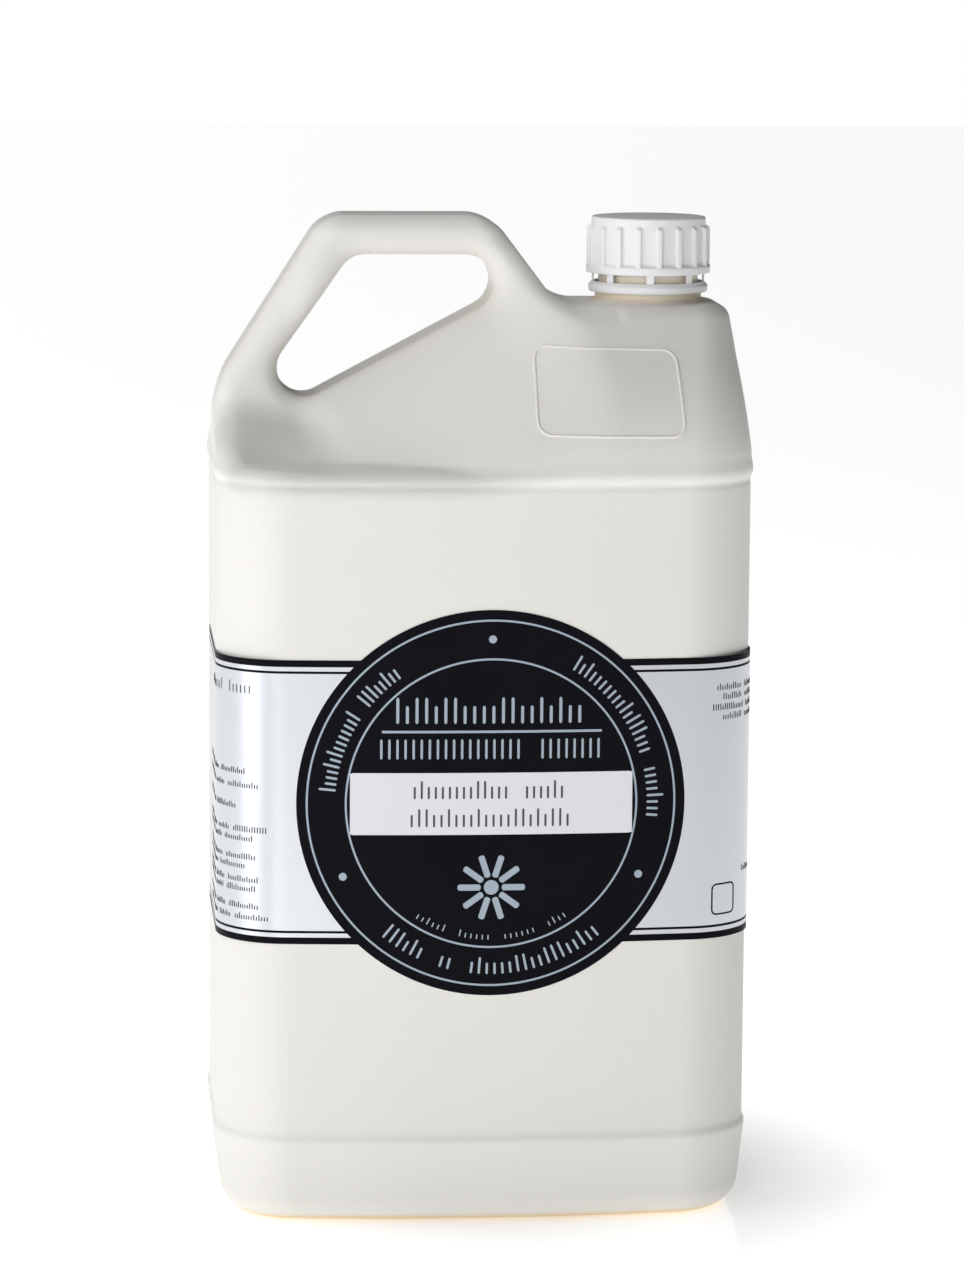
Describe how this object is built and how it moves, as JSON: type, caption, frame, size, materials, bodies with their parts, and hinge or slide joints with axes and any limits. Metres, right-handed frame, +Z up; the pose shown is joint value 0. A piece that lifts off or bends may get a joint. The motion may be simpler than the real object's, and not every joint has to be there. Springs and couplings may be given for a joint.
{
  "type": "oil jerry can",
  "caption": "Free-standing plastic jerry can for massage oil, with a hollow diagonal handle, a ribbed tamper-evident screw cap and a wrap-round label.",
  "frame": {"origin": "on the floor, under the middle of the bottle's box", "axes": "+Z up along the longest side, front toward -Y, handle toward -X and neck toward +X"},
  "size_m": [0.1766, 0.1276, 0.327],
  "materials": {
    "milky_hdpe": "satin",
    "white_cap": "satin",
    "foam_wad": "matte",
    "printed_film": "satin",
    "clear_oil": "gloss"
  },
  "bodies": {
    "bottle": {"bottle_shell": "milky_hdpe", "body_label": "printed_film", "oil_fill": "clear_oil"},
    "liner": {"cap_liner": "foam_wad"},
    "cap": {"screw_cap": "white_cap"},
    "band": {"tamper_band": "white_cap", "band_bridges": "white_cap"}
  },
  "joints": [
    {"name": "cap_lift", "type": "slide", "parent": "bottle", "child": "liner", "axis": [0, 0, 1], "range_m": [0, 0.0063]},
    {"name": "cap_turn", "type": "hinge", "parent": "liner", "child": "cap", "pos_m": [0.057, 0, 0.3145], "axis": [0, 0, 1], "range_deg": [0, 540]},
    {"name": "band_turn", "type": "hinge", "parent": "bottle", "child": "band", "pos_m": [0.057, 0, 0.3025], "axis": [0, 0, 1], "continuous": true}
  ],
  "couplings": [
    {"joint": "cap_turn", "follows": "cap_lift", "rad_per_m": 1496}
  ]
}
